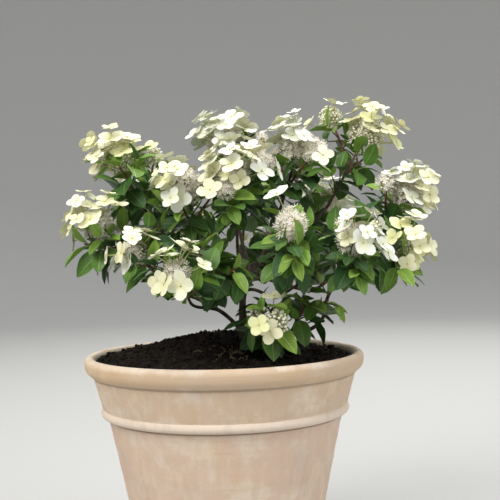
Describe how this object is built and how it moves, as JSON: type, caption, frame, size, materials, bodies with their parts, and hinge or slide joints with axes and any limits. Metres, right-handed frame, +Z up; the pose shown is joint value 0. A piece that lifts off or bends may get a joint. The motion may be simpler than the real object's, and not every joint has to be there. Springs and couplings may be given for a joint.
{
  "type": "potted panicle hydrangea",
  "caption": "Flowering panicle hydrangea shrub with papery cream-white flower heads above green leaves, growing in a wide round clay pot filled with compost.",
  "frame": {"origin": "centre of the pot's flat underside", "axes": "+Z up the plant, -Y towards the front that the picture shows, +X to its right"},
  "size_m": [0.5219, 0.4795, 0.6738],
  "materials": {
    "pot": "matt unglazed clay, pale with mineral bloom",
    "compost": "rough, moist and crumbly",
    "bark": "rough dark brown bark",
    "leaves": "satin green leaves, darker on the old ones",
    "blossom": "matt papery cream-white petals among leaves"
  },
  "bodies": {
    "root": {"pot": "pot", "compost": "compost", "trunk": "bark", "bough_low_stem": "bark", "bough_upper_left": "bark", "bough_top": "bark", "bough_back": "bark", "bough_left": "bark", "bough_low_front": "bark", "bough_right": "bark", "bough_centre_left": "bark", "bough_left_back": "bark", "bough_low_left": "bark", "bough_front_left": "bark", "bough_centre": "bark", "bough_top_left": "bark", "bough_right_top": "bark", "bough_centre_front": "bark", "bough_centre_right": "bark", "bough_low_right": "bark", "bough_back_left": "bark", "bough_back_right": "bark", "bough_right_back": "bark", "bough_back_low": "bark", "bough_under_left": "bark", "bough_under_right": "bark", "bough_under_low": "bark", "foliage_upper_left": "blossom", "foliage_top": "blossom", "foliage_back": "blossom", "foliage_left": "blossom", "foliage_low_front": "blossom", "foliage_right": "blossom", "foliage_centre_left": "blossom", "foliage_left_back": "blossom", "foliage_low_left": "blossom", "foliage_front_left": "blossom", "foliage_centre": "blossom", "foliage_top_left": "blossom", "foliage_right_top": "blossom", "foliage_centre_front": "blossom", "foliage_centre_right": "blossom", "foliage_low_right": "blossom", "foliage_back_left": "blossom", "foliage_back_right": "blossom", "foliage_right_back": "blossom", "foliage_back_low": "blossom", "foliage_under_left": "leaves", "foliage_under_right": "leaves", "foliage_under_low": "leaves"}
  },
  "joints": []
}
